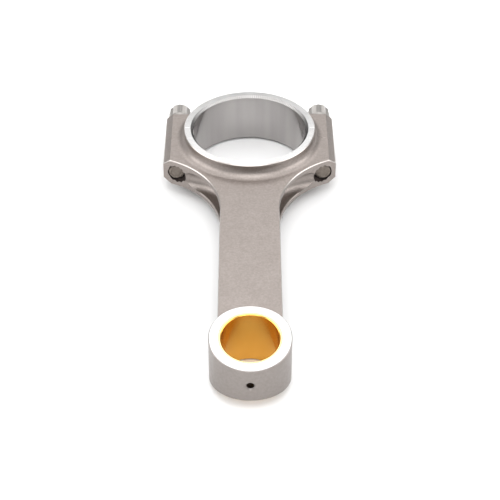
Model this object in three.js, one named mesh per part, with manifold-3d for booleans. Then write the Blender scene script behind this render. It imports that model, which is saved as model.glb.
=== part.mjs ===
// H-beam connecting rod with its bolted cap. Millimetres, +Z up.
// The rod lies flat: both bores stand along Z, the small end is at -Y and the cap at +Y.
// Every piece is drawn about the pin centre, with the middle plane of the rod at z = 0.

import * as THREE from "three";
import { mergeVertices } from "three/addons/utils/BufferGeometryUtils.js";
import Module from "manifold-3d";

// Length between the two bore centres.
const centreDistance = 144.8;

// Big end: a round rim, split through its centre.
const bigBoreRadius = 26.99;
const bigRimWall = 4.26;
const bigBoreChamfer = 1.1;
const rodWidth = 25.4;
const bigCoveRadius = 4;

// Shoulders that carry the bolts, on both sides of the big end.
const boltFromBore = 7.4;
const shoulderOutsideBolt = 6.3;
const shoulderChamferWidth = 3.3;
const shoulderChamferDrop = 2.7;
const capCornerChamfer = 0.5;
const headSeatHeight = 20.4;

// H-beam: two flanges and a thin web between them.
const beamHalfWidth = 13.4;
const beamThickness = 13.6;
const flareRadius = 40;
const flareLength = 55.3;
const flangeThickness = 2.4;
const webThickness = 4.6;
const channelFloorStrip = 0.4;
const channelFlareRadius = 33.5;
const channelEndRadius = 10;
const channelEndDistance = 28;

// Small end: a round eye whose two faces lean towards each other at the tip.
const eyeWall = 4;
const smallEndThickness = 21.6;
const faceSlope = 0.162;
const smallRimChamfer = 0.3;
const smallCoveRadius = 3.5;
const oilHoleRadius = 1.5;
const oilHoleCountersink = 0.6;

// Bronze bushing in the small end.
const pinBoreRadius = 11.775;
const bushingWall = 1;
const bushingFit = 0.05;
const bushingChamfer = 0.3;
const bushingOilHoleRadius = 1.1;

// Notches for the tongues of the two bearing shells.
const notchDepth = 1.1;
const notchWidth = 4.2;
const notchHeight = 7.5;
const notchCutterRadius = 7;

// Cap screws: twelve-point heads on a round flange.
const boltRadius = 3.97;
const boltFit = 0.1;
const boltTipRecess = 1.5;
const boltTipChamfer = 0.55;
const boltFlangeOverhang = 2.2;
const boltFlangeThickness = 3;
const boltFlangeRim = 2.6;
const boltHeadHeight = 11;
const boltHeadOverhang = 1.65;
const boltHeadPoints = 12;
const boltDimpleRadius = 1.6;
const boltDimpleDepth = 0.8;

// Hollow sleeves that line the cap up with the rod.
const sleeveWall = 0.6;
const sleeveBoltGap = 0.2;
const sleeveLength = 9;
const sleeveFit = 0.05;
const sleeveEndGap = 0.1;

// Facets on a full turn of the large, middle and small round shapes.
const largeRound = 96;
const middleRound = 72;
const smallRound = 32;
const arcSteps = 14;
const coveSteps = 5;
const channelCornerSteps = 4;

// Sizes that follow from the ones above.
const halfWidth = rodWidth / 2;
const halfBeam = beamThickness / 2;
const bigRimRadius = bigBoreRadius + bigRimWall;
const boltCentre = bigBoreRadius + boltFromBore;
const shoulderHalfWidth = boltCentre + shoulderOutsideBolt;
const smallEndRadius = pinBoreRadius + bushingWall + eyeWall;
const boltFlangeRadius = boltRadius + boltFlangeOverhang;
const boltHeadRadius = boltRadius + boltHeadOverhang;
const sleeveBore = boltRadius + sleeveBoltGap;
const sleeveRadius = sleeveBore + sleeveWall;
const flareStart = centreDistance - flareLength;
const seatY = centreDistance + headSeatHeight;
const headTop = seatY + boltHeadHeight;

// Cutting shapes that go right through reach this far, which is well outside the rod.
const cutterReach = 2 * shoulderHalfWidth;

// Cutting shapes that open at a face run past that face by this much.
const overshoot = 1;

const wasm = await Module();
wasm.setup();

// A closed geometry as a solid that can be joined and cut.
function solid(geometry) {
  const bare = geometry.index ? geometry.toNonIndexed() : geometry.clone();
  bare.deleteAttribute("normal");
  bare.deleteAttribute("uv");
  const merged = mergeVertices(bare, 1e-4);
  return new wasm.Manifold(
    new wasm.Mesh({
      numProp: 3,
      vertProperties: merged.attributes.position.array,
      triVerts: new Uint32Array(merged.index.array),
    }),
  );
}

// The other way round: a solid as a geometry with flat facets.
function geometryOf(shape) {
  const mesh = shape.getMesh();
  const indexed = new THREE.BufferGeometry();
  indexed.setAttribute("position", new THREE.BufferAttribute(mesh.vertProperties, 3));
  indexed.setIndex(new THREE.BufferAttribute(mesh.triVerts, 1));
  const geometry = indexed.toNonIndexed();
  geometry.computeVertexNormals();
  return geometry;
}

const point = (x, y) => new THREE.Vector2(x, y);

// A profile of [radius, height] points turned about Z.
function turnedUpright(profile, facets) {
  return new THREE.LatheGeometry(profile, facets).rotateX(Math.PI / 2);
}

// The same about Y, which is the way the bolts point.
function turnedAlongY(profile, facets) {
  return new THREE.LatheGeometry(profile, facets);
}

// Profile of a plain round bar between two heights.
function barProfile(radius, low, high) {
  return [point(0, low), point(radius, low), point(radius, high), point(0, high)];
}

function uprightCylinder(radius, halfHeight, facets) {
  return turnedUpright(barProfile(radius, -halfHeight, halfHeight), facets);
}

function cylinderAlongY(radius, low, high, facets) {
  return turnedAlongY(barProfile(radius, low, high), facets);
}

// A plan outline given height on both sides of the middle plane.
function slab(shape, halfHeight) {
  const options = { depth: 2 * halfHeight, bevelEnabled: false, curveSegments: arcSteps };
  return new THREE.ExtrudeGeometry(shape, options).translate(0, 0, -halfHeight);
}

// A box from one Y to another that covers the rod in X and Z.
function boxAcross(low, high) {
  const box = new THREE.BoxGeometry(2 * cutterReach, high - low, 2 * cutterReach);
  return box.translate(0, (low + high) / 2, 0);
}

// Plan outline of the beam and both shoulders, from the pin centre to the bolt head seats.
function bodyOutline() {
  const flareAngle = Math.acos((beamHalfWidth + flareRadius - shoulderHalfWidth) / flareRadius);
  const outline = new THREE.Shape();
  outline.moveTo(-beamHalfWidth, 0);
  outline.lineTo(-beamHalfWidth, flareStart);
  outline.absarc(-beamHalfWidth - flareRadius, flareStart, flareRadius, 0, flareAngle, false);
  outline.lineTo(-shoulderHalfWidth, seatY - capCornerChamfer);
  outline.lineTo(-shoulderHalfWidth + capCornerChamfer, seatY);
  outline.lineTo(shoulderHalfWidth - capCornerChamfer, seatY);
  outline.lineTo(shoulderHalfWidth, seatY - capCornerChamfer);
  outline.absarc(
    beamHalfWidth + flareRadius,
    flareStart,
    flareRadius,
    Math.PI - flareAngle,
    Math.PI,
    false,
  );
  outline.lineTo(beamHalfWidth, 0);
  return outline;
}

// Cross-section of the shoulders: a flat slab with its four long edges cut off.
function shoulderSection() {
  const side = halfBeam - shoulderChamferDrop;
  const top = shoulderHalfWidth - shoulderChamferWidth;
  const section = new THREE.Shape();
  section.moveTo(-shoulderHalfWidth, -side);
  section.lineTo(-top, -halfBeam);
  section.lineTo(top, -halfBeam);
  section.lineTo(shoulderHalfWidth, -side);
  section.lineTo(shoulderHalfWidth, side);
  section.lineTo(top, halfBeam);
  section.lineTo(-top, halfBeam);
  section.lineTo(-shoulderHalfWidth, side);
  const options = { depth: centreDistance + cutterReach, bevelEnabled: false };
  return new THREE.ExtrudeGeometry(section, options).rotateX(-Math.PI / 2);
}

// Profile of a round boss that stands on the beam and meets it in a cove, above and below.
function covedProfile(radius, halfHeight, cove) {
  const upper = [];
  for (let step = 0; step <= coveSteps; step++) {
    const angle = (step / coveSteps) * (Math.PI / 2);
    const outwards = cove * (1 - Math.sin(angle));
    const upwards = cove * (1 - Math.cos(angle));
    upper.push(point(radius + outwards, halfBeam + upwards));
  }
  const lower = upper.map((p) => point(p.x, -p.y)).reverse();
  return [
    point(0, -halfHeight),
    point(radius, -halfHeight),
    ...lower,
    ...upper,
    point(radius, halfHeight),
    point(0, halfHeight),
  ];
}

// The big end's rim, with its cove kept to where the beam and shoulders lie under it.
function bigRim(outline) {
  const flared = turnedUpright(covedProfile(bigRimRadius, halfWidth, bigCoveRadius), largeRound);
  const straight = uprightCylinder(bigRimRadius, halfWidth, largeRound);
  flared.translate(0, centreDistance, 0);
  straight.translate(0, centreDistance, 0);
  return solid(flared).intersect(solid(straight).add(solid(slab(outline, halfWidth))));
}

// Tilts everything drawn level above the pin into the slope of the small end's upper face.
const faceTilt = new THREE.Matrix4().makeShear(0, 0, 0, faceSlope, 0, 0);

// A round plug cut off above by a sloping plane, with an optional chamfer round the cut.
function slopedPlug(radius, chamfer) {
  const top = smallEndThickness / 2;
  const profile = [point(0, -cutterReach), point(radius, -cutterReach), point(radius, top - chamfer)];
  if (chamfer > 0) profile.push(point(radius - chamfer, top));
  profile.push(point(0, top));
  return turnedUpright(profile, middleRound).applyMatrix4(faceTilt);
}

// The same plug with both faces sloping, and never thicker than the rod is wide.
function taperedPlug(radius, chamfer) {
  const above = slopedPlug(radius, chamfer);
  const below = above.clone().rotateY(Math.PI);
  const limit = uprightCylinder(radius + overshoot, halfWidth, middleRound);
  return solid(above).intersect(solid(below)).intersect(solid(limit));
}

// The eye that holds the bushing, with a cove where it stands on the beam.
function smallEye(outline) {
  const coveHeight = halfBeam + smallCoveRadius;
  const cove = turnedUpright(covedProfile(smallEndRadius, coveHeight, smallCoveRadius), middleRound);
  const coveOnBeam = solid(cove).intersect(solid(slab(outline, coveHeight)));
  return taperedPlug(smallEndRadius, smallRimChamfer).add(coveOnBeam);
}

// The hollow between the flanges on the -X side, with rounded corners along its floor.
function channelCutter() {
  const floor = -webThickness / 2;
  const outside = -cutterReach;
  const outline = new THREE.Shape();
  outline.moveTo(outside, channelEndDistance - channelEndRadius);
  outline.lineTo(floor - channelEndRadius, channelEndDistance - channelEndRadius);
  outline.absarc(floor - channelEndRadius, channelEndDistance, channelEndRadius, -Math.PI / 2, 0, false);
  outline.absarc(floor - channelFlareRadius, flareStart, channelFlareRadius, 0, Math.PI / 2, false);
  outline.lineTo(outside, flareStart + channelFlareRadius);
  const halfHeight = halfBeam - flangeThickness;
  const cornerRadius = halfHeight - channelFloorStrip / 2;
  return new THREE.ExtrudeGeometry(outline, {
    depth: channelFloorStrip,
    curveSegments: arcSteps,
    bevelThickness: cornerRadius,
    bevelSize: cornerRadius,
    bevelOffset: -cornerRadius,
    bevelSegments: channelCornerSteps,
  }).translate(0, 0, -channelFloorStrip / 2);
}

// The big end's bore with a chamfer at each end.
function bigBoreCutter() {
  const reach = halfWidth + overshoot;
  const mouth = bigBoreRadius + bigBoreChamfer + overshoot;
  const profile = [
    point(0, -reach),
    point(mouth, -reach),
    point(bigBoreRadius, -halfWidth + bigBoreChamfer),
    point(bigBoreRadius, halfWidth - bigBoreChamfer),
    point(mouth, reach),
    point(0, reach),
  ];
  return turnedUpright(profile, largeRound).translate(0, centreDistance, 0);
}

// Cuts one notch across the parting line, so that rod and cap get half each.
function notchCutter() {
  const centre = bigBoreRadius + notchDepth - notchCutterRadius;
  return uprightCylinder(notchCutterRadius, notchWidth / 2, smallRound)
    .translate(-centre, centreDistance, notchHeight);
}

// Clearance for one bolt and its sleeve through both halves of a shoulder.
function boltHoleCutter(side) {
  const hole = cylinderAlongY(boltRadius + boltFit, -cutterReach, cutterReach, smallRound);
  const pocketHalf = sleeveLength / 2 + sleeveEndGap;
  const pocket = cylinderAlongY(sleeveRadius + sleeveFit, -pocketHalf, pocketHalf, smallRound);
  return solid(hole)
    .add(solid(pocket))
    .translate([side * boltCentre, centreDistance, 0]);
}

// The oil hole at the tip of the small end, with its countersink.
function oilHoleCutter() {
  const wall = -smallEndRadius;
  const profile = [
    point(0, wall - overshoot),
    point(oilHoleRadius + oilHoleCountersink + overshoot, wall - overshoot),
    point(oilHoleRadius, wall + oilHoleCountersink),
    point(oilHoleRadius, 0),
    point(0, 0),
  ];
  return turnedAlongY(profile, smallRound);
}

// Rod and cap in one piece, as they are before the big end is split.
function wholeForging() {
  const outline = bodyOutline();
  const plate = solid(slab(outline, halfBeam)).intersect(solid(shoulderSection()));
  const channel = channelCutter();
  const pinPocket = uprightCylinder(pinBoreRadius + bushingWall + bushingFit, cutterReach, middleRound);
  return plate
    .subtract(solid(channel))
    .subtract(solid(channel.clone().rotateY(Math.PI)))
    .add(bigRim(outline))
    .add(smallEye(outline))
    .subtract(solid(pinPocket))
    .subtract(solid(oilHoleCutter()))
    .subtract(solid(bigBoreCutter()))
    .subtract(solid(notchCutter()))
    .subtract(boltHoleCutter(-1))
    .subtract(boltHoleCutter(1));
}

// The bushing's faces slope with the eye around it, and its bore is chamfered at both ends.
function bushing() {
  const top = smallEndThickness / 2;
  const boreProfile = [
    point(0, -cutterReach),
    point(pinBoreRadius, -cutterReach),
    point(pinBoreRadius, top - bushingChamfer),
    point(pinBoreRadius + bushingChamfer + overshoot, top + overshoot),
    point(0, top + overshoot),
  ];
  const bore = turnedUpright(boreProfile, middleRound).applyMatrix4(faceTilt);
  return taperedPlug(pinBoreRadius + bushingWall, 0)
    .subtract(solid(bore))
    .subtract(solid(bore.clone().rotateY(Math.PI)))
    .subtract(solid(cylinderAlongY(bushingOilHoleRadius, -smallEndRadius, 0, smallRound)));
}

// Twelve-point star: the outline of two hexagons, one turned by half a corner.
function twelvePointStar() {
  const notch = (boltHeadRadius * Math.cos(Math.PI / 6)) / Math.cos(Math.PI / boltHeadPoints);
  const corners = [];
  for (let i = 0; i < 2 * boltHeadPoints; i++) {
    const radius = i % 2 ? notch : boltHeadRadius;
    const angle = (i * Math.PI) / boltHeadPoints;
    corners.push(point(radius * Math.cos(angle), radius * Math.sin(angle)));
  }
  return new THREE.Shape(corners);
}

// Where the curved underside of a shoulder crosses the bolt's axis.
function boltExitY() {
  const inwards = flareRadius - (boltCentre - beamHalfWidth);
  return flareStart + Math.sqrt(flareRadius ** 2 - inwards ** 2);
}

// One cap screw. Its seat is at y = 0, the head is above it and the thread below.
function capScrew() {
  const boltLength = seatY - boltExitY() - boltTipRecess;
  const tip = boltRadius - boltTipChamfer;
  const shank = turnedAlongY(
    [
      point(0, -boltLength),
      point(tip, -boltLength),
      point(boltRadius, -boltLength + boltTipChamfer),
      point(boltRadius, 0),
      point(boltFlangeRadius, 0),
      point(boltFlangeRadius, boltFlangeRim),
      point(boltHeadRadius, boltFlangeThickness),
      point(0, boltFlangeThickness),
    ],
    smallRound,
  );
  const star = new THREE.ExtrudeGeometry(twelvePointStar(), {
    depth: boltHeadHeight - boltFlangeRim,
    bevelEnabled: false,
  })
    .rotateX(-Math.PI / 2)
    .translate(0, boltFlangeRim, 0);
  const dimple = turnedAlongY(
    [
      point(0, boltHeadHeight - boltDimpleDepth),
      point(boltDimpleRadius, boltHeadHeight),
      point(boltDimpleRadius, boltHeadHeight + overshoot),
      point(0, boltHeadHeight + overshoot),
    ],
    smallRound,
  );
  return solid(shank).add(solid(star)).subtract(solid(dimple));
}

// One alignment sleeve, centred on the parting plane.
function sleeve() {
  const half = sleeveLength / 2;
  const profile = [
    point(sleeveBore, -half),
    point(sleeveRadius, -half),
    point(sleeveRadius, half),
    point(sleeveBore, half),
    point(sleeveBore, -half),
  ];
  return solid(turnedAlongY(profile, smallRound));
}

function metal(color, roughness) {
  return new THREE.MeshStandardMaterial({ color, roughness, metalness: 0.9 });
}

const forgedSteel = () => metal(0xb5aca6, 0.45);
const boltSteel = () => metal(0x8d8984, 0.4);
const bushingBronze = () => metal(0xc8913c, 0.35);
const sleeveSteel = () => metal(0xa6a6a6, 0.3);

// A named node that holds one solid.
function piece(name, shape, material, x = 0, y = 0) {
  const mesh = new THREE.Mesh(geometryOf(shape), material);
  mesh.name = name;
  mesh.position.set(x, y, 0);
  return mesh;
}

const forging = wholeForging();
const rodHalf = forging.intersect(solid(boxAcross(-cutterReach, centreDistance)));
const capHalf = forging.intersect(solid(boxAcross(centreDistance, centreDistance + cutterReach)));

const rod = new THREE.Group();
rod.name = "connecting_rod";
rod.add(piece("rod_body", rodHalf, forgedSteel()));
rod.add(piece("rod_cap", capHalf, forgedSteel()));
rod.add(piece("pin_bushing", bushing(), bushingBronze()));
rod.add(piece("bolt_left", capScrew(), boltSteel(), -boltCentre, seatY));
rod.add(piece("bolt_right", capScrew(), boltSteel(), boltCentre, seatY));
rod.add(piece("dowel_sleeve_left", sleeve(), sleeveSteel(), -boltCentre, centreDistance));
rod.add(piece("dowel_sleeve_right", sleeve(), sleeveSteel(), boltCentre, centreDistance));

// The part's origin is the middle of its bottom, so the whole rod moves there.
rod.position.set(0, (smallEndRadius - headTop) / 2, halfWidth);

export default rod;
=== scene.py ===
# Looks for the connecting rod: a fine mesh for every CAD piece, its materials, floor, lights and camera.
# Shapes are drawn in millimetres about the pin centre, with the rod's middle plane at z = 0.
# PLACE then puts them into the frame, in metres.
import math

import bmesh
import bpy
from mathutils import Matrix, Vector


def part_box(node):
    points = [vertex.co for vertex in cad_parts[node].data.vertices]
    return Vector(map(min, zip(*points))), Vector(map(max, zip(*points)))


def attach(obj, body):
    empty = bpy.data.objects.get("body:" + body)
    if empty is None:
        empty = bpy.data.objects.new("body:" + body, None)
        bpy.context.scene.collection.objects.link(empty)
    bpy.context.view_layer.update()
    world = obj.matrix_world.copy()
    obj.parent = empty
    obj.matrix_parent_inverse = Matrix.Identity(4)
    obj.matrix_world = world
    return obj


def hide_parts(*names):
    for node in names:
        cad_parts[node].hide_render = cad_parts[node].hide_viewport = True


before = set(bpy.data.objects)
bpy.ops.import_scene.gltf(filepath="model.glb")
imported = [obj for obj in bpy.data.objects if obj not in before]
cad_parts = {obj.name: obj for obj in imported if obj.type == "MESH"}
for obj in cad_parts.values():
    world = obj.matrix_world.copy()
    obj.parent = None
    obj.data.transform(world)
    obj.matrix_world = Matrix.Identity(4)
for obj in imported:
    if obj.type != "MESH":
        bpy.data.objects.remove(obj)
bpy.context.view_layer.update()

# ------------------------------------------------------------------ sizes read from the frame, in mm
MM = 0.001


def lowest(node):
    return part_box(node)[0] / MM


def highest(node):
    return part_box(node)[1] / MM


PIN_Y = (lowest("pin_bushing").y + highest("pin_bushing").y) / 2
HALF_WIDTH = highest("rod_cap").z / 2
PART_Y = lowest("rod_cap").y - PIN_Y
RIM_R = highest("rod_cap").y - lowest("rod_cap").y
EYE_R = PIN_Y - lowest("rod_body").y
SHOULDER_X = highest("rod_cap").x
BOLT_X = (lowest("bolt_right").x + highest("bolt_right").x) / 2
FLANGE_R = (highest("bolt_right").x - lowest("bolt_right").x) / 2
HEAD_TOP = highest("bolt_right").y - PIN_Y
BOLT_TIP = lowest("bolt_right").y - PIN_Y
SLEEVE_R = (highest("dowel_sleeve_right").x - lowest("dowel_sleeve_right").x) / 2
SLEEVE_HALF = (highest("dowel_sleeve_right").y - lowest("dowel_sleeve_right").y) / 2
BUSHING_R = (highest("pin_bushing").x - lowest("pin_bushing").x) / 2
PLACE = Matrix.Scale(MM, 4) @ Matrix.Translation((0, PIN_Y, HALF_WIDTH))

# ------------------------------------------------------------------ sizes that a box doesn't show
BORE_R = 26.99
BORE_CHAMFER = 1.1
RIM_COVE = 4.0
HALF_BEAM = 6.8
BEAM_X = 13.4
FLARE_R = 40.0
FLARE_TO_PART = 55.3
FLARE_Y = PART_Y - FLARE_TO_PART
HEAD_T = 11.0
SEAT_Y = HEAD_TOP - HEAD_T
CORNER = 0.5
SLOPE_RUN = 3.3
SLOPE_FALL = 2.7
SLOPE_X = SHOULDER_X - SLOPE_RUN
WEB_X = 2.3
CHANNEL_HALF = 4.4
CHANNEL_CORNER = 4.2
CHANNEL_FLARE_R = 33.5
CHANNEL_END_R = 10.0
CHANNEL_END_Y = 28.0
FIT_GAP = 0.05
PIN_R = 11.775
EYE_BORE_R = BUSHING_R + FIT_GAP
EYE_HALF = 10.8
EYE_SLOPE = 0.162
EYE_CHAMFER = 0.3
EYE_COVE = 3.5
EYE_FACE_STEPS = 6
OIL_R = 1.5
OIL_COUNTERSINK = 0.6
BUSHING_OIL_R = 1.1
NOTCH_R = 7.0
NOTCH_DEPTH = 1.1
NOTCH_HALF_HEIGHT = 2.1
NOTCH_Z = 7.5
BOLT_R = 3.97
SLEEVE_GAP = 0.2
SLEEVE_BORE_R = BOLT_R + SLEEVE_GAP
HOLE_R = 4.07
HEAD_R = 5.62
FLANGE_T = 3.0
FLANGE_RIM = 2.6
TIP_CHAMFER = 0.55
TIP_R = BOLT_R - TIP_CHAMFER
THREAD_PITCH = 1.0583
THREAD_DEPTH = 0.5
THREAD_FLAT = 0.15
THREAD_TO_SLEEVE = 1.0
TAP_DEPTH_PAST_BOLT = 12.0
EDGE = 0.35
FINE = 0.12

# ------------------------------------------------------------------ how solids are joined, cut and divided
PLATE_BACK = 2.0
CUTTER_REACH = 20.0
OVERCUT = 5.0
POCKET_SPARE = 0.1
SAME_POINT = 0.002
SHARP_ANGLE = math.radians(30)
HOLE_STEPS = 64
BIG_HOLE_STEPS = 160
EYE_HOLE_STEPS = 120
THREADED_HOLE_STEPS = 48
SCREW_STEPS = 96
EYE_STEPS = 180
RIM_STEPS = 150
COVE_STEPS = 10

# The order of METALS, which a face's material index points into.
# Another, for deburred edges, is lighter, partly as a painted highlight.
# One of these, for the insides of holes, is nearly black: painted shade.
FORGED, GROUND, HONED, EDGE_WITH_HIGHLIGHT, SATIN, HOLE_SHADE, TURNED = range(7)


# ------------------------------------------------------------------ camera
def make_camera():
    """Looks along the rod from beyond the small end, 39 degrees down, through a short telephoto lens."""
    pitch = math.radians(39.34)
    yaw = math.radians(0.14)
    right = Vector((math.cos(yaw), -math.sin(yaw), 0))
    forward = Vector((math.sin(yaw) * math.cos(pitch), math.cos(yaw) * math.cos(pitch), -math.sin(pitch)))
    up = right.cross(forward)
    data = bpy.data.cameras.new("camera")
    data.sensor_width = 36
    data.lens = 100.99
    data.clip_start = 0.01
    data.clip_end = 30
    camera = bpy.data.objects.new("camera", data)
    turn = Matrix((right, up, -forward)).transposed().to_4x4()
    position = PLACE @ Vector((-1.11, -409.44, 391.38))
    camera.matrix_world = Matrix.Translation(position) @ turn
    bpy.context.collection.objects.link(camera)
    bpy.context.scene.camera = camera


make_camera()


# ------------------------------------------------------------------ mesh helpers
def spread(start, end, steps):
    """Evenly spaced values from start to end, both included."""
    return [start + (end - start) * i / steps for i in range(steps + 1)]


def skin(columns, closed, paint=None):
    """A closed solid from columns of points that each run round a closed loop or from pole to pole."""
    bm = bmesh.new()
    rings = [[bm.verts.new(p) for p in column] for column in columns]
    for i in range(len(rings) if closed else len(rings) - 1):
        here = rings[i]
        after = rings[(i + 1) % len(rings)]
        for j in range(len(here) - 1):
            face = bm.faces.new((here[j], here[j + 1], after[j + 1], after[j]))
            face.material_index = paint(i, j) if paint else FORGED
    if not closed:
        for ring in (rings[0], rings[-1]):
            face = bm.faces.new(ring[:-1])
            face.material_index = GROUND
    bmesh.ops.remove_doubles(bm, verts=bm.verts, dist=1e-4)
    bmesh.ops.dissolve_degenerate(bm, edges=bm.edges, dist=1e-4)
    bmesh.ops.recalc_face_normals(bm, faces=bm.faces)
    return bm


def lathe(profile_at, angles, closed=True, centre_y=0.0, paint=None):
    """Turns a profile about an upright axis. profile_at gives its (radius, height) points at one angle."""
    columns = []
    for angle in angles:
        column = []
        for radius, height in profile_at(angle):
            column.append(Vector((radius * math.cos(angle), centre_y + radius * math.sin(angle), height)))
        columns.append(column)
    return skin(columns, closed, paint)


def full_turn(steps):
    return spread(0, 2 * math.pi, steps)[:-1]


def lay_along_y(bm, x, y):
    """Turns what was made upright so that it points along +Y, and moves it to (x, y)."""
    turn = Matrix.Rotation(-math.pi / 2, 4, "X")
    bmesh.ops.transform(bm, matrix=Matrix.Translation((x, y, 0)) @ turn, verts=bm.verts)
    return bm


def plain_bar(radius, low, high, steps, material):
    """An upright round bar with one material all over."""
    profile = [(0, low), (radius, low), (radius, high), (0, high)]
    return lathe(lambda angle: profile, full_turn(steps), paint=lambda i, j: material)


def as_object(bm, name):
    mesh = bpy.data.meshes.new(name)
    bm.to_mesh(mesh)
    bm.free()
    thing = bpy.data.objects.new(name, mesh)
    for material in METALS:
        mesh.materials.append(material)
    bpy.context.collection.objects.link(thing)
    return thing


def upright_cutter(radius, y, steps):
    """A bar through the whole rod, about an axis at y."""
    bar = plain_bar(radius, -CUTTER_REACH, CUTTER_REACH, steps, HONED)
    bmesh.ops.transform(bar, matrix=Matrix.Translation((0, y, 0)), verts=bar.verts)
    return bar


def carve(first, steps):
    """Joins solids to the first one or cuts them out of it, in order.

    steps holds pairs of "UNION" or "DIFFERENCE" and a solid. Points that the cuts leave almost in one place
    are merged, so that the result stays closed.
    """
    body = as_object(first, "carved")
    helpers = []
    for operation, solid in steps:
        helper = as_object(solid, "carver")
        modifier = body.modifiers.new("carve", "BOOLEAN")
        modifier.operation = operation
        modifier.solver = "EXACT"
        modifier.object = helper
        helpers.append(helper)
    bpy.context.view_layer.update()
    shaped = body.evaluated_get(bpy.context.evaluated_depsgraph_get())
    result = bmesh.new()
    result.from_mesh(shaped.data)
    bmesh.ops.remove_doubles(result, verts=result.verts, dist=SAME_POINT)
    bmesh.ops.dissolve_degenerate(result, edges=result.edges, dist=SAME_POINT)
    for thing in helpers + [body]:
        bpy.data.objects.remove(thing, do_unlink=True)
    return result


def finish_piece(bm, node, body, materials):
    """Places a solid in the row frame, as the looks of one CAD node that rides on one body."""
    name = f"{node}_fine"
    bmesh.ops.transform(bm, matrix=PLACE, verts=bm.verts)
    mesh = bpy.data.meshes.new(name)
    bm.to_mesh(mesh)
    bm.free()
    for material in materials:
        mesh.materials.append(material)
    mesh.shade_smooth()
    mesh.set_sharp_from_angle(angle=SHARP_ANGLE)
    thing = bpy.data.objects.new(name, mesh)
    bpy.context.collection.objects.link(thing)
    weighted = thing.modifiers.new("flat faces stay flat", "WEIGHTED_NORMAL")
    weighted.keep_sharp = True
    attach(thing, body)
    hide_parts(node)


# ------------------------------------------------------------------ plate: beam, flare and shoulders
FLARE_ANGLE = math.acos((BEAM_X + FLARE_R - SHOULDER_X) / FLARE_R)
FLARE_END_Y = FLARE_Y + FLARE_R * math.sin(FLARE_ANGLE)


def half_width_at(y):
    """Half the plate's width at y, from the beam up to the bolt head seats."""
    if y <= FLARE_Y:
        return BEAM_X
    if y < FLARE_END_Y:
        return BEAM_X + FLARE_R - math.sqrt(FLARE_R ** 2 - (y - FLARE_Y) ** 2)
    return SHOULDER_X - max(0.0, y - (SEAT_Y - CORNER))


def edge_run(y):
    """How far the edge bevel runs in x at y, so that its width stays the same along the flare."""
    if FLARE_Y < y < FLARE_END_Y:
        return EDGE * FLARE_R / math.sqrt(FLARE_R ** 2 - (y - FLARE_Y) ** 2)
    return EDGE


def surface_z(x):
    """Height of the plate's upper surface, which slopes down at the outer sides of the shoulders."""
    return HALF_BEAM - SLOPE_FALL / SLOPE_RUN * max(0.0, x - SLOPE_X)


def channel_opening(y, width):
    """How far the channel's rounded corner opens at y, from 0 at its end to the corner's radius."""
    start = CHANNEL_END_Y - CHANNEL_END_R
    opening = min(CHANNEL_CORNER, y - start)
    if y > FLARE_Y:
        centre = WEB_X + CHANNEL_FLARE_R
        opening = min(opening, CHANNEL_FLARE_R - math.hypot(centre - width, y - FLARE_Y))
    return max(0.0, opening)


def channel_floor(y, inset, width):
    """Distance of the channel's floor from the rod's middle, at one height on its rounded corner."""
    if y < CHANNEL_END_Y:
        radius = CHANNEL_END_R - inset
        across = math.sqrt(max(0.0, radius ** 2 - (CHANNEL_END_Y - y) ** 2))
        return min(width, WEB_X + CHANNEL_END_R - across)
    if y <= FLARE_Y:
        return WEB_X + inset
    radius = CHANNEL_FLARE_R - inset
    across = math.sqrt(max(0.0, radius ** 2 - (y - FLARE_Y) ** 2))
    return min(width, WEB_X + CHANNEL_FLARE_R - across)


def quarter_section(y, shrink, in_channel):
    """The upper right quarter of the plate's section at y, from its top to the middle plane."""
    width = half_width_at(y)
    opening = channel_opening(y, width) if in_channel else 0.0
    inner = width - edge_run(y)
    lip_rise = math.sqrt(CHANNEL_CORNER ** 2 - (CHANNEL_CORNER - opening) ** 2)
    lip = CHANNEL_HALF - CHANNEL_CORNER + lip_rise
    points = [
        (min(inner, SLOPE_X), HALF_BEAM),
        (inner, surface_z(inner)),
        (width, surface_z(width) - EDGE),
    ]
    depth = width - channel_floor(y, opening, width) if opening > 0 else 0.0
    break_edge = min(EDGE, depth)
    points += [(width, lip + break_edge), (width - break_edge, lip)]
    for inset in [opening * (1 - math.cos(t)) for t in spread(math.pi / 2, 0, 8)]:
        rise = math.sqrt(CHANNEL_CORNER ** 2 - (CHANNEL_CORNER - inset) ** 2)
        across = channel_floor(y, inset, width) if opening > 0 else width
        points.append((across, CHANNEL_HALF - CHANNEL_CORNER + rise))
    just_above_middle = 0.05
    return [(x - shrink, max(just_above_middle, z - shrink)) for x, z in points]


def plate(stations):
    """A solid from sections along y. stations holds (y, shrink, whether the channel is there)."""
    columns = []
    for y, shrink, in_channel in stations:
        quarter = quarter_section(y, shrink, in_channel)
        right = quarter + [(x, -z) for x, z in quarter[::-1]]
        loop = right + [(-x, z) for x, z in right[::-1]]
        loop.append(loop[0])
        columns.append([Vector((x, y, z)) for x, z in loop])
    count = len(quarter)
    bevels = {1, 2 * count - 3, 2 * count + 1, 4 * count - 3}
    # Bevel faces take the edge colour, which is partly a painted highlight.
    return skin(columns, False, lambda i, j: EDGE_WITH_HIGHLIGHT if j in bevels else FORGED)


def body_plate():
    start = CHANNEL_END_Y - CHANNEL_END_R
    just_open = start + 0.001
    stations = [(y, 0.0, False) for y in spread(0, start, 4)]
    stations += [(y, 0.0, True) for y in spread(just_open, start + CHANNEL_CORNER, 8)]
    stations += [(y, 0.0, True) for y in spread(start + CHANNEL_CORNER, CHANNEL_END_Y, 10)[1:]]
    stations += [(y, 0.0, True) for y in spread(CHANNEL_END_Y, FLARE_Y, 8)[1:]]
    flare = [FLARE_Y + FLARE_R * math.sin(angle) for angle in spread(0, FLARE_ANGLE, 110)]
    stations += [(y, 0.0, True) for y in flare[1:]]
    stations += [(y, 0.0, False) for y in spread(FLARE_END_Y + 1, PART_Y - FINE, 4)]
    stations.append((PART_Y, FINE, False))
    return plate(stations)


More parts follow.
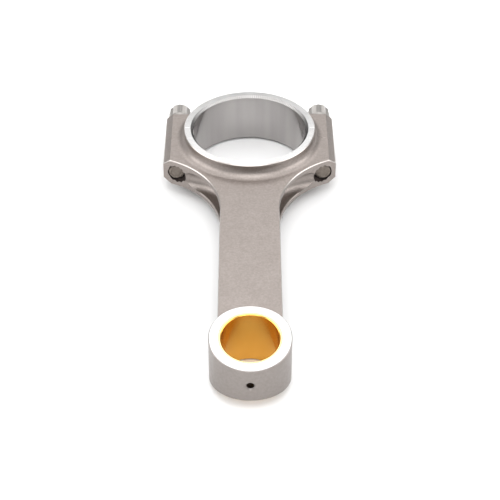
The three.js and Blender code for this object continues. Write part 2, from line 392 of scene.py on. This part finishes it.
def cap_plate():
    stations = [(PART_Y, FINE, False)]
    stations += [(y, 0.0, False) for y in spread(PART_Y + FINE, SEAT_Y - CORNER, 4)]
    stations.append((SEAT_Y - EDGE, 0.0, False))
    stations.append((SEAT_Y, EDGE, False))
    return plate(stations)


# ------------------------------------------------------------------ big end
def rim_profile(shrink):
    """Section of the big end's rim, from the bore over the top to the outer wall and back underneath."""
    outer = RIM_R - shrink
    bore = BORE_R + shrink
    top = HALF_WIDTH - shrink
    upper = [
        (bore, 0),
        (bore, HALF_WIDTH - BORE_CHAMFER - shrink / 2),
        (BORE_R + BORE_CHAMFER + shrink / 2, top),
        (RIM_R - EDGE, top),
        (outer, HALF_WIDTH - EDGE),
        (outer, 0),
    ]
    lower = [(r, -z) for r, z in upper[::-1]]
    return upper + lower[1:]


# The rim's outer edges take the edge colour, which is partly a painted highlight.
RIM_PAINT = [HONED, TURNED, GROUND, EDGE_WITH_HIGHLIGHT, FORGED, FORGED, EDGE_WITH_HIGHLIGHT, GROUND, TURNED, HONED]


def half_rim(start):
    """Half of the rim, from one side of the parting plane to the other, with a fine edge at the plane."""
    near = FINE / RIM_R
    end = start + math.pi
    angles = [start] + spread(start + near, end - near, RIM_STEPS) + [end]

    def profile_at(angle):
        return rim_profile(FINE if angle in (start, end) else 0.0)

    return lathe(profile_at, angles, False, PART_Y, lambda i, j: RIM_PAINT[j])


def cove_profile(radius, cove, shrink=0.0):
    """A concave quarter round between a wall of this radius and the plate's top, closed inside them."""
    buried_in_wall = 1.2
    buried_in_plate = 1.0
    arc = []
    for t in spread(0, math.pi / 2, COVE_STEPS):
        out = cove * (1 - math.cos(t))
        rise = cove * (1 - math.sin(t))
        arc.append((radius + out, HALF_BEAM + rise - shrink))
    inside = radius - buried_in_wall
    floor = HALF_BEAM - buried_in_plate
    loop = [(inside, HALF_BEAM + cove - shrink)] + arc + [(radius + cove, floor), (inside, floor)]
    return loop + [loop[0]]


def clamped_cove(radius, cove, centre_y, limit, angle_at, steps):
    """A cove with flat ends. angle_at gives an angle from a share of the way and limit / radius."""
    columns = []
    for share in spread(0, 1, steps):
        column = []
        for r, z in cove_profile(radius, cove):
            angle = angle_at(share, limit / r)
            column.append(Vector((r * math.cos(angle), centre_y + r * math.sin(angle), z)))
        columns.append(column)
    return skin(columns, False)


def body_cove():
    near = FINE / RIM_R
    angles = [math.pi] + spread(math.pi + near, 2 * math.pi - near, 140) + [2 * math.pi]

    def profile_at(angle):
        return cove_profile(RIM_R, RIM_COVE, FINE if angle in (math.pi, 2 * math.pi) else 0.0)

    return lathe(profile_at, angles, False, PART_Y)


def cap_cove(side):
    """The rim's cove on one shoulder of the cap. It ends just short of the plane of the bolt head seats."""
    limit = SEAT_Y - PART_Y - 0.01

    def angle_at(share, reach):
        angle = share * math.asin(reach)
        return angle if side > 0 else math.pi - angle

    return clamped_cove(RIM_R, RIM_COVE, PART_Y, limit, angle_at, 50)


def upside_down(bm):
    bmesh.ops.transform(bm, matrix=Matrix.Diagonal((1, 1, -1, 1)), verts=bm.verts)
    bmesh.ops.recalc_face_normals(bm, faces=bm.faces)
    return bm


def both_sides(make, *args):
    return [("UNION", make(*args)), ("UNION", upside_down(make(*args)))]


def notch():
    """What the bearing tongue's notch takes out, half from the rod and half from the cap."""
    bar = plain_bar(NOTCH_R, -NOTCH_HALF_HEIGHT, NOTCH_HALF_HEIGHT, HOLE_STEPS, HONED)
    centre = (NOTCH_R - BORE_R - NOTCH_DEPTH, PART_Y, NOTCH_Z)
    bmesh.ops.transform(bar, matrix=Matrix.Translation(centre), verts=bar.verts)
    return bar


def thread_radius(root, height, angle):
    """Radius of a right-hand vee thread, blunt at its crest and its root."""
    phase = (height / THREAD_PITCH - angle / (2 * math.pi)) % 1.0
    ramp = 1 - abs(2 * phase - 1)
    blunted = (1 + 2 * THREAD_FLAT) * ramp - THREAD_FLAT
    return root + THREAD_DEPTH * min(1.0, max(0.0, blunted))


def tapped_hole(side):
    """What one bolt's thread takes out of the rod, from below the shoulder up to the sleeve's pocket."""
    rows_a_turn = 7
    low = BOLT_TIP - TAP_DEPTH_PAST_BOLT
    high = PART_Y - SLEEVE_HALF
    rows = spread(low, high, int((high - low) * rows_a_turn / THREAD_PITCH))

    def profile_at(angle):
        return [(0, low)] + [(thread_radius(HOLE_R, h, angle), h) for h in rows] + [(0, high)]

    # The thread's walls are nearly black, painted shade for the hole.
    cutter = lathe(profile_at, full_turn(THREADED_HOLE_STEPS), paint=lambda i, j: HOLE_SHADE)
    return lay_along_y(cutter, side * BOLT_X, 0)


def bolt_bore(side, radius, low, high):
    """A cutter along one bolt's axis, from low to high."""
    return lay_along_y(plain_bar(radius, low, high, HOLE_STEPS, HONED), side * BOLT_X, 0)


# ------------------------------------------------------------------ small end
def face_z(y):
    """Height of the small end's face at y. It leans down to the tip and levels off towards the beam."""
    leaning = EYE_HALF + EYE_SLOPE * y
    softness = 0.35
    gap = leaning - HALF_WIDTH
    return HALF_WIDTH - softness * math.log1p(math.exp(-gap / softness))


def eye_profile(angle):
    """Section of the small end's eye at one angle, from its bore over the top face and back underneath."""
    lean = math.sin(angle)
    rim_r = EYE_R - EYE_CHAMFER
    upper = [(EYE_BORE_R, 0)]
    upper += [(r, face_z(r * lean)) for r in spread(EYE_BORE_R, rim_r, EYE_FACE_STEPS)]
    upper += [(EYE_R, face_z(rim_r * lean) - EYE_CHAMFER), (EYE_R, 0)]
    lower = [(r, -z) for r, z in upper[::-1]]
    return upper + lower[1:]


def eye_paint(i, j):
    """Honed bore, ground faces and satin wall. Rows count from the bore on the upper and the lower side."""
    last_row = 2 * EYE_FACE_STEPS + 5
    from_bore = min(j, last_row - j)
    if from_bore == 0:
        return HONED
    return GROUND if from_bore <= EYE_FACE_STEPS else SATIN


def eye():
    return lathe(eye_profile, full_turn(EYE_STEPS), paint=eye_paint)


def eye_cove():
    def angle_at(share, reach):
        start = math.acos(reach)
        return start + share * (math.pi - 2 * start)

    return clamped_cove(EYE_R, EYE_COVE, 0.0, BEAM_X - EDGE, angle_at, 60)


def oil_hole(radius, countersink):
    """The lubrication hole in the tip of the small end, from outside the eye to inside the bushing."""
    past_wall = 1.0
    past_bore = 3.0
    outside = -EYE_R - past_wall
    inside = past_bore - PIN_R
    profile = [
        (0, outside),
        (radius + countersink + past_wall, outside),
        (radius, -EYE_R + countersink),
        (radius, inside),
        (0, inside),
    ]
    cone_rows = 2

    # The countersink is satin; the hole past it is nearly black, painted shade.
    def paint(i, j):
        return SATIN if j < cone_rows else HOLE_SHADE

    return lay_along_y(lathe(lambda angle: profile, full_turn(HOLE_STEPS), paint=paint), 0, 0)


def bushing_profile(angle):
    """Section of the bronze bushing at one angle, a hair below the eye's faces and chamfered inside."""
    lean = math.sin(angle)
    chamfer = 0.4
    recess = 0.03
    edge_run = 0.08
    edge_fall = 0.12
    upper = [
        (PIN_R, 0),
        (PIN_R, face_z(PIN_R * lean) - chamfer),
        (PIN_R + chamfer, face_z((PIN_R + chamfer) * lean) - recess),
        (BUSHING_R - edge_run, face_z(BUSHING_R * lean) - recess),
        (BUSHING_R, face_z(BUSHING_R * lean) - edge_fall),
        (BUSHING_R, 0),
    ]
    lower = [(r, -z) for r, z in upper[::-1]]
    return upper + lower[1:]


def bushing():
    # The end faces and their outer edges are lighter yellow: a painted highlight.
    highlight_rows = (2, 3, 6, 7)
    made = lathe(bushing_profile, full_turn(EYE_STEPS), paint=lambda i, j: 1 if j in highlight_rows else 0)
    return carve(made, [("DIFFERENCE", oil_hole(BUSHING_OIL_R, 0.0))])


# ------------------------------------------------------------------ cap screws and sleeves
def star_radius(angle):
    """Outline of a twelve-point head: two hexagons, one turned by half a corner."""
    flat = HEAD_R * math.cos(math.pi / 6)
    sixth = math.pi / 3
    first = flat / math.cos(angle % sixth - sixth / 2)
    second = flat / math.cos((angle + sixth / 2) % sixth - sixth / 2)
    return max(first, second)


THREAD_END = PART_Y - SLEEVE_HALF - THREAD_TO_SLEEVE
THREAD_ROWS_A_TURN = 8
THREAD_ROWS = spread(
    BOLT_TIP, THREAD_END, int((THREAD_END - BOLT_TIP) * THREAD_ROWS_A_TURN / THREAD_PITCH)
)[1:]


def tip_points():
    """The bolt's end face, with a shallow hollow inside a flat rim."""
    hollow = 0.12
    rim = 0.75
    hollow_side = 0.15
    return [
        (0, BOLT_TIP + hollow),
        (TIP_R - rim - hollow_side, BOLT_TIP + hollow),
        (TIP_R - rim, BOLT_TIP),
        (TIP_R, BOLT_TIP),
    ]


def thread_points(angle):
    """The thread and its run-out. It starts under a 45 degree chamfer at the tip."""
    root = BOLT_R - THREAD_DEPTH
    run_out_start = THREAD_END + 0.2
    run_out_end = THREAD_END + 0.9
    points = []
    for height in THREAD_ROWS:
        chamfered = TIP_R + height - BOLT_TIP
        points.append((min(thread_radius(root, height, angle), chamfered), height))
    return points + [(root, run_out_start), (BOLT_R, run_out_end)]


def head_points(angle):
    """Flange, twelve-point head with a domed edge, and the dimple in its top."""
    edge = 0.2
    dome_in = 0.75
    dome_slope = 1.1
    dimple_r = 1.75
    dimple_floor_r = 0.4
    dimple_depth = 0.8
    star = star_radius(angle)
    points = [
        (BOLT_R, SEAT_Y),
        (FLANGE_R - edge, SEAT_Y),
        (FLANGE_R, SEAT_Y + edge),
        (FLANGE_R, SEAT_Y + FLANGE_RIM - edge),
        (FLANGE_R - edge, SEAT_Y + FLANGE_RIM),
        (star, SEAT_Y + FLANGE_T),
    ]
    for below in (1.0, 0.7, 0.45, 0.2, 0.0):
        dome = HEAD_R - dome_in + below * dome_slope
        points.append((min(star, dome), HEAD_TOP - below))
    return points + [
        (dimple_r, HEAD_TOP),
        (dimple_r - 0.25, HEAD_TOP - 0.2),
        (dimple_floor_r, HEAD_TOP - dimple_depth),
        (0, HEAD_TOP - dimple_depth),
    ]


def screw_profile(angle):
    """Outline of a cap screw at one angle, from its tip to its head. Heights are along y."""
    return tip_points() + thread_points(angle) + head_points(angle)


def cap_screw(side):
    # The tip and the thread take the darker steel, painted shade.
    shaded_rows = len(tip_points()) + len(THREAD_ROWS)
    turned = lathe(screw_profile, full_turn(SCREW_STEPS), paint=lambda i, j: 1 if j < shaded_rows else 0)
    return lay_along_y(turned, side * BOLT_X, 0)


def sleeve(side):
    """A plain tube with eased ends, half in the rod and half in the cap."""
    ease = 0.15
    profile = [
        (SLEEVE_BORE_R, -SLEEVE_HALF + ease),
        (SLEEVE_BORE_R + ease, -SLEEVE_HALF),
        (SLEEVE_R - ease, -SLEEVE_HALF),
        (SLEEVE_R, -SLEEVE_HALF + 2 * ease),
        (SLEEVE_R, SLEEVE_HALF - 2 * ease),
        (SLEEVE_R - ease, SLEEVE_HALF),
        (SLEEVE_BORE_R + ease, SLEEVE_HALF),
        (SLEEVE_BORE_R, SLEEVE_HALF - ease),
        (SLEEVE_BORE_R, -SLEEVE_HALF + ease),
    ]
    turned = lathe(lambda angle: profile, full_turn(HOLE_STEPS), paint=lambda i, j: 0)
    return lay_along_y(turned, side * BOLT_X, PART_Y)


# ------------------------------------------------------------------ materials
def new_metal(name):
    """A metal's material and shader, and the coordinates of the piece in metres."""
    material = bpy.data.materials.new(name)
    material.use_nodes = True
    shader = material.node_tree.nodes["Principled BSDF"]
    shader.inputs["Metallic"].default_value = 1.0
    coords = material.node_tree.nodes.new("ShaderNodeTexCoord")
    return material, shader, coords.outputs["Object"]


def noise(material, coords, per_millimetre, detail=2.0, stretch=(1, 1, 1)):
    """Noise with this many grains to the millimetre, drawn out along an axis where stretch is small."""
    nodes = material.node_tree.nodes
    links = material.node_tree.links
    scale = nodes.new("ShaderNodeMapping")
    scale.inputs["Scale"].default_value = [s * per_millimetre / MM for s in stretch]
    texture = nodes.new("ShaderNodeTexNoise")
    texture.inputs["Scale"].default_value = 1.0
    texture.inputs["Detail"].default_value = detail
    links.new(coords, scale.inputs["Vector"])
    links.new(scale.outputs["Vector"], texture.inputs["Vector"])
    return texture.outputs["Fac"]


def remap(material, value, low, high):
    """Spreads the middle of a noise over the range from low to high."""
    node = material.node_tree.nodes.new("ShaderNodeMapRange")
    node.inputs["From Min"].default_value = 0.3
    node.inputs["From Max"].default_value = 0.7
    node.inputs["To Min"].default_value = low
    node.inputs["To Max"].default_value = high
    material.node_tree.links.new(value, node.inputs["Value"])
    return node.outputs["Result"]


def tint(material, shader, value, dark, light):
    """Base colour that runs from dark to light with a noise."""
    mix = material.node_tree.nodes.new("ShaderNodeMix")
    mix.data_type = "RGBA"
    mix.inputs["A"].default_value = (*dark, 1)
    mix.inputs["B"].default_value = (*light, 1)
    links = material.node_tree.links
    links.new(remap(material, value, 0, 1), mix.inputs["Factor"])
    links.new(mix.outputs["Result"], shader.inputs["Base Color"])


def gloss(shader, roughness):
    """One roughness all over."""
    shader.inputs["Roughness"].default_value = roughness


def uneven_gloss(material, shader, value, low, high):
    """Roughness that runs from low to high with a noise."""
    material.node_tree.links.new(remap(material, value, low, high), shader.inputs["Roughness"])


def bump(material, shader, heights):
    """Bump from several (height, depth in millimetres) layers."""
    nodes = material.node_tree.nodes
    links = material.node_tree.links
    last = None
    for height, depth in heights:
        node = nodes.new("ShaderNodeBump")
        node.inputs["Strength"].default_value = 1.0
        node.inputs["Distance"].default_value = depth * MM
        links.new(height, node.inputs["Height"])
        if last is not None:
            links.new(last, node.inputs["Normal"])
        last = node.outputs["Normal"]
    links.new(last, shader.inputs["Normal"])


def stretch_highlights_upright(material, shader, amount):
    """Fine scratches run round the bore, so its reflections are drawn out along the bore's axis."""
    shader.inputs["Anisotropic"].default_value = amount
    axis = material.node_tree.nodes.new("ShaderNodeCombineXYZ")
    axis.inputs["Z"].default_value = 1.0
    material.node_tree.links.new(axis.outputs["Vector"], shader.inputs["Tangent"])


def peened_steel():
    """Forged and shot-peened: warm grey, satin, with fine grain and a soft mottle."""
    material, shader, coords = new_metal("peened steel")
    grain = noise(material, coords, 1.1, 4)
    tint(material, shader, grain, (0.262, 0.23, 0.212), (0.315, 0.28, 0.26))
    uneven_gloss(material, shader, noise(material, coords, 0.1, 3), 0.36, 0.46)
    coarse = noise(material, coords, 0.7)
    fine = noise(material, coords, 2.2)
    bump(material, shader, [(coarse, 0.05), (fine, 0.05)])
    return material


def satin_steel():
    """The turned outer wall of the small end: finer than the forging, with faint marks round it."""
    material, shader, coords = new_metal("satin steel")
    marks = noise(material, coords, 1.0, 3, (0.2, 0.2, 2.5))
    tint(material, shader, noise(material, coords, 0.9, 4), (0.265, 0.238, 0.222), (0.295, 0.268, 0.252))
    uneven_gloss(material, shader, noise(material, coords, 0.3), 0.36, 0.44)
    bump(material, shader, [(marks, 0.01), (noise(material, coords, 2.5), 0.012)])
    return material


def ground_steel():
    """Ground flat: nearly mirror bright with fine straight grinding lines."""
    material, shader, coords = new_metal("ground steel")
    lines = noise(material, coords, 1.0, 3, (0.12, 3, 1))
    tint(material, shader, lines, (0.54, 0.535, 0.53), (0.6, 0.595, 0.59))
    uneven_gloss(material, shader, noise(material, coords, 0.25), 0.15, 0.2)
    bump(material, shader, [(lines, 0.001)])
    return material


def honed_steel():
    """Honed bore: grey, with fine scratches round it, and slightly brighter upright streaks in its colour
    that are painted reflections.
    """
    material, shader, coords = new_metal("honed steel")
    # The upright streaks in the colour are painted reflections.
    reflection_bands = noise(material, coords, 0.12, 2, (1, 1, 0.05))
    tint(material, shader, reflection_bands, (0.36, 0.345, 0.34), (0.46, 0.44, 0.43))
    uneven_gloss(material, shader, noise(material, coords, 0.1), 0.12, 0.19)
    stretch_highlights_upright(material, shader, 0.7)
    bump(material, shader, [(noise(material, coords, 1.0, 2, (0.05, 0.05, 3)), 0.0004)])
    return material


def painted_hole_shade():
    """Inside of a drilled or tapped hole: nearly black, painted shade for the deep hollow of the hole."""
    material, shader, coords = new_metal("painted hole shade")
    gloss(shader, 0.6)
    tint(material, shader, noise(material, coords, 1.0), (0.02, 0.016, 0.015), (0.05, 0.04, 0.036))
    bump(material, shader, [(noise(material, coords, 3.0), 0.02)])
    return material


def around_bore(material, coords):
    """Angle about the big end's axis, which lies at PART_Y from the pin."""
    nodes = material.node_tree.nodes
    links = material.node_tree.links
    parts = nodes.new("ShaderNodeSeparateXYZ")
    links.new(coords, parts.inputs["Vector"])
    away = nodes.new("ShaderNodeMath")
    away.operation = "SUBTRACT"
    away.inputs[1].default_value = (PART_Y + PIN_Y) * MM
    links.new(parts.outputs["Y"], away.inputs[0])
    angle = nodes.new("ShaderNodeMath")
    angle.operation = "ARCTAN2"
    links.new(away.outputs["Value"], angle.inputs[0])
    links.new(parts.outputs["X"], angle.inputs[1])
    return angle.outputs["Value"]


def wave(material, value, per_unit):
    """A sine of a value that is first multiplied by per_unit."""
    nodes = material.node_tree.nodes
    links = material.node_tree.links
    times = nodes.new("ShaderNodeMath")
    times.operation = "MULTIPLY"
    times.inputs[1].default_value = per_unit
    links.new(value, times.inputs[0])
    sine = nodes.new("ShaderNodeMath")
    sine.operation = "SINE"
    links.new(times.outputs["Value"], sine.inputs[0])
    return sine.outputs["Value"]


def deburred_edge_with_highlight():
    """Deburred edges: lighter than the forging, and lighter still as a painted highlight for the light they
    catch. A little uneven.
    """
    material, shader, coords = new_metal("deburred edge with painted highlight")
    gloss(shader, 0.28)
    tint(material, shader, noise(material, coords, 0.5), (0.42, 0.39, 0.37), (0.5, 0.465, 0.44))
    bump(material, shader, [(noise(material, coords, 2.0), 0.008)])
    return material


def turned_chamfer():
    """The bore's chamfer, with the faint chatter marks that the cutter left across it."""
    marks_round_bore = 186
    material, shader, coords = new_metal("turned chamfer")
    gloss(shader, 0.22)
    chatter = wave(material, around_bore(material, coords), marks_round_bore)
    tint(material, shader, chatter, (0.2, 0.195, 0.19), (0.45, 0.44, 0.435))
    bump(material, shader, [(chatter, 0.03), (noise(material, coords, 2.0), 0.004)])
    return material


def bolt_steel():
    """Plain alloy steel, ground and lightly oiled: cooler grey than the forging."""
    material, shader, coords = new_metal("bolt steel")
    tint(material, shader, noise(material, coords, 0.35, 3), (0.38, 0.36, 0.34), (0.47, 0.45, 0.43))
    uneven_gloss(material, shader, noise(material, coords, 0.8), 0.28, 0.4)
    bump(material, shader, [(noise(material, coords, 2.5), 0.01)])
    return material


def shaded_thread_steel():
    """The bolt's thread and tip: dark brown, painted shade for where they sit deep in the holes."""
    material, shader, coords = new_metal("thread steel painted shade")
    tint(material, shader, noise(material, coords, 0.6, 3), (0.18, 0.152, 0.13), (0.25, 0.218, 0.19))
    uneven_gloss(material, shader, noise(material, coords, 1.5), 0.4, 0.55)
    bump(material, shader, [(noise(material, coords, 3.0), 0.015)])
    return material


def sleeve_steel():
    """Centreless-ground tube."""
    material, shader, coords = new_metal("sleeve steel")
    gloss(shader, 0.25)
    rings = noise(material, coords, 1.0, 2, (0.3, 10, 0.3))
    tint(material, shader, rings, (0.62, 0.61, 0.6), (0.7, 0.695, 0.69))
    bump(material, shader, [(rings, 0.002)])
    return material


def bronze(name, dark, light):
    """Reamed bronze with fine marks round the bore."""
    material, shader, coords = new_metal(name)
    gloss(shader, 0.25)
    marks = noise(material, coords, 1.0, 3, (0.2, 0.2, 10))
    tint(material, shader, noise(material, coords, 0.15, 2, (1, 1, 0.3)), dark, light)
    stretch_highlights_upright(material, shader, 0.5)
    bump(material, shader, [(marks, 0.004)])
    return material


METALS = [
    peened_steel(),
    ground_steel(),
    honed_steel(),
    deburred_edge_with_highlight(),
    satin_steel(),
    painted_hole_shade(),
    turned_chamfer(),
]


# ------------------------------------------------------------------ the pieces
def rod_body():
    """The plate stops a little outside both bores, inside the rim and the eye, which make the bores."""
    steps = [
        ("DIFFERENCE", upright_cutter(BORE_R + PLATE_BACK, PART_Y, BIG_HOLE_STEPS)),
        ("DIFFERENCE", upright_cutter(EYE_BORE_R + PLATE_BACK, 0, EYE_HOLE_STEPS)),
        ("UNION", half_rim(math.pi)),
        ("UNION", eye()),
    ]
    steps += both_sides(body_cove) + both_sides(eye_cove)
    steps.append(("DIFFERENCE", notch()))
    steps.append(("DIFFERENCE", oil_hole(OIL_R, OIL_COUNTERSINK)))
    pocket_floor = PART_Y - SLEEVE_HALF - POCKET_SPARE
    for side in (-1, 1):
        steps.append(("DIFFERENCE", tapped_hole(side)))
        steps.append(("DIFFERENCE", bolt_bore(side, SLEEVE_R + FIT_GAP, pocket_floor, PART_Y + OVERCUT)))
    return carve(body_plate(), steps)


def rod_cap():
    steps = [
        ("DIFFERENCE", upright_cutter(BORE_R + PLATE_BACK, PART_Y, BIG_HOLE_STEPS)),
        ("UNION", half_rim(0)),
    ]
    for side in (-1, 1):
        steps += both_sides(cap_cove, side)
    steps.append(("DIFFERENCE", notch()))
    pocket_roof = PART_Y + SLEEVE_HALF + POCKET_SPARE
    for side in (-1, 1):
        steps.append(("DIFFERENCE", bolt_bore(side, HOLE_R, PART_Y - OVERCUT, SEAT_Y + OVERCUT)))
        steps.append(("DIFFERENCE", bolt_bore(side, SLEEVE_R + FIT_GAP, PART_Y - OVERCUT, pocket_roof)))
    return carve(cap_plate(), steps)


finish_piece(rod_body(), "rod_body", "rod", METALS)
finish_piece(rod_cap(), "rod_cap", "cap", METALS)
# The second bronze, lighter yellow, is a painted highlight for the bushing's end faces.
bronzes = [
    bronze("bushing bronze", (0.77, 0.45, 0.097), (0.84, 0.505, 0.12)),
    bronze("bushing rim painted highlight", (0.85, 0.7, 0.33), (0.92, 0.78, 0.4)),
]
finish_piece(bushing(), "pin_bushing", "rod", bronzes)
screw_steel = [bolt_steel(), shaded_thread_steel()]
tube_steel = [sleeve_steel()]
for side, word in ((-1, "left"), (1, "right")):
    finish_piece(cap_screw(side), f"bolt_{word}", f"{word}_bolt", screw_steel)
    finish_piece(sleeve(side), f"dowel_sleeve_{word}", "rod", tube_steel)


# ------------------------------------------------------------------ floor, lights and sky
def make_floor():
    """White paper that the rod lies on, a hair below its lowest point."""
    reach = 6.0
    height = -0.0001
    bm = bmesh.new()
    corners = [(-reach, -reach), (reach, -reach), (reach, reach), (-reach, reach)]
    bm.faces.new([bm.verts.new((x, y, height)) for x, y in corners])
    mesh = bpy.data.meshes.new("floor")
    bm.to_mesh(mesh)
    bm.free()
    floor = bpy.data.objects.new("floor", mesh)
    material = bpy.data.materials.new("white paper")
    material.use_nodes = True
    shader = material.node_tree.nodes["Principled BSDF"]
    shader.inputs["Base Color"].default_value = (0.8, 0.8, 0.8, 1)
    shader.inputs["Roughness"].default_value = 0.9
    shader.inputs["Specular IOR Level"].default_value = 0.0
    mesh.materials.append(material)
    bpy.context.collection.objects.link(floor)


def softbox(name, position, size, brightness):
    """A rectangular light that faces the object. brightness is its radiance, where 1 shows as white."""
    data = bpy.data.lights.new(name, "AREA")
    data.shape = "RECTANGLE"
    data.size = size[0]
    data.size_y = size[1]
    data.energy = brightness * math.pi * size[0] * size[1]
    light = bpy.data.objects.new(name, data)
    light.location = position
    light.rotation_mode = "QUATERNION"
    light.rotation_quaternion = (-Vector(position)).to_track_quat("-Z", "Y")
    bpy.context.collection.objects.link(light)


def make_sky(horizon, zenith):
    """Soft light from all round, darker towards the horizon."""
    world = bpy.data.worlds.new("studio")
    world.use_nodes = True
    nodes = world.node_tree.nodes
    links = world.node_tree.links
    background = nodes["Background"]
    background.inputs["Color"].default_value = (1, 1, 1, 1)
    direction = nodes.new("ShaderNodeTexCoord")
    parts = nodes.new("ShaderNodeSeparateXYZ")
    rise = nodes.new("ShaderNodeMapRange")
    rise.inputs["From Min"].default_value = 0.0
    rise.inputs["From Max"].default_value = 0.8
    rise.inputs["To Min"].default_value = horizon
    rise.inputs["To Max"].default_value = zenith
    links.new(direction.outputs["Generated"], parts.inputs["Vector"])
    links.new(parts.outputs["Z"], rise.inputs["Value"])
    links.new(rise.outputs["Result"], background.inputs["Strength"])
    bpy.context.scene.world = world


make_floor()
make_sky(0.5, 0.75)
softbox("back softbox", (0, 1.05, 1.45), (2.6, 1.3), 1.6)
softbox("top softbox", (0, -0.1, 1.6), (1.0, 0.9), 1.7)
softbox("front softbox", (0, -0.95, 1.55), (1.6, 1.1), 2.6)
for side, word in ((-1, "left"), (1, "right")):
    softbox(f"{word} softbox", (side * 1.5, -0.1, 0.95), (1.5, 1.2), 2.7)
bpy.context.scene.view_settings.view_transform = "Standard"
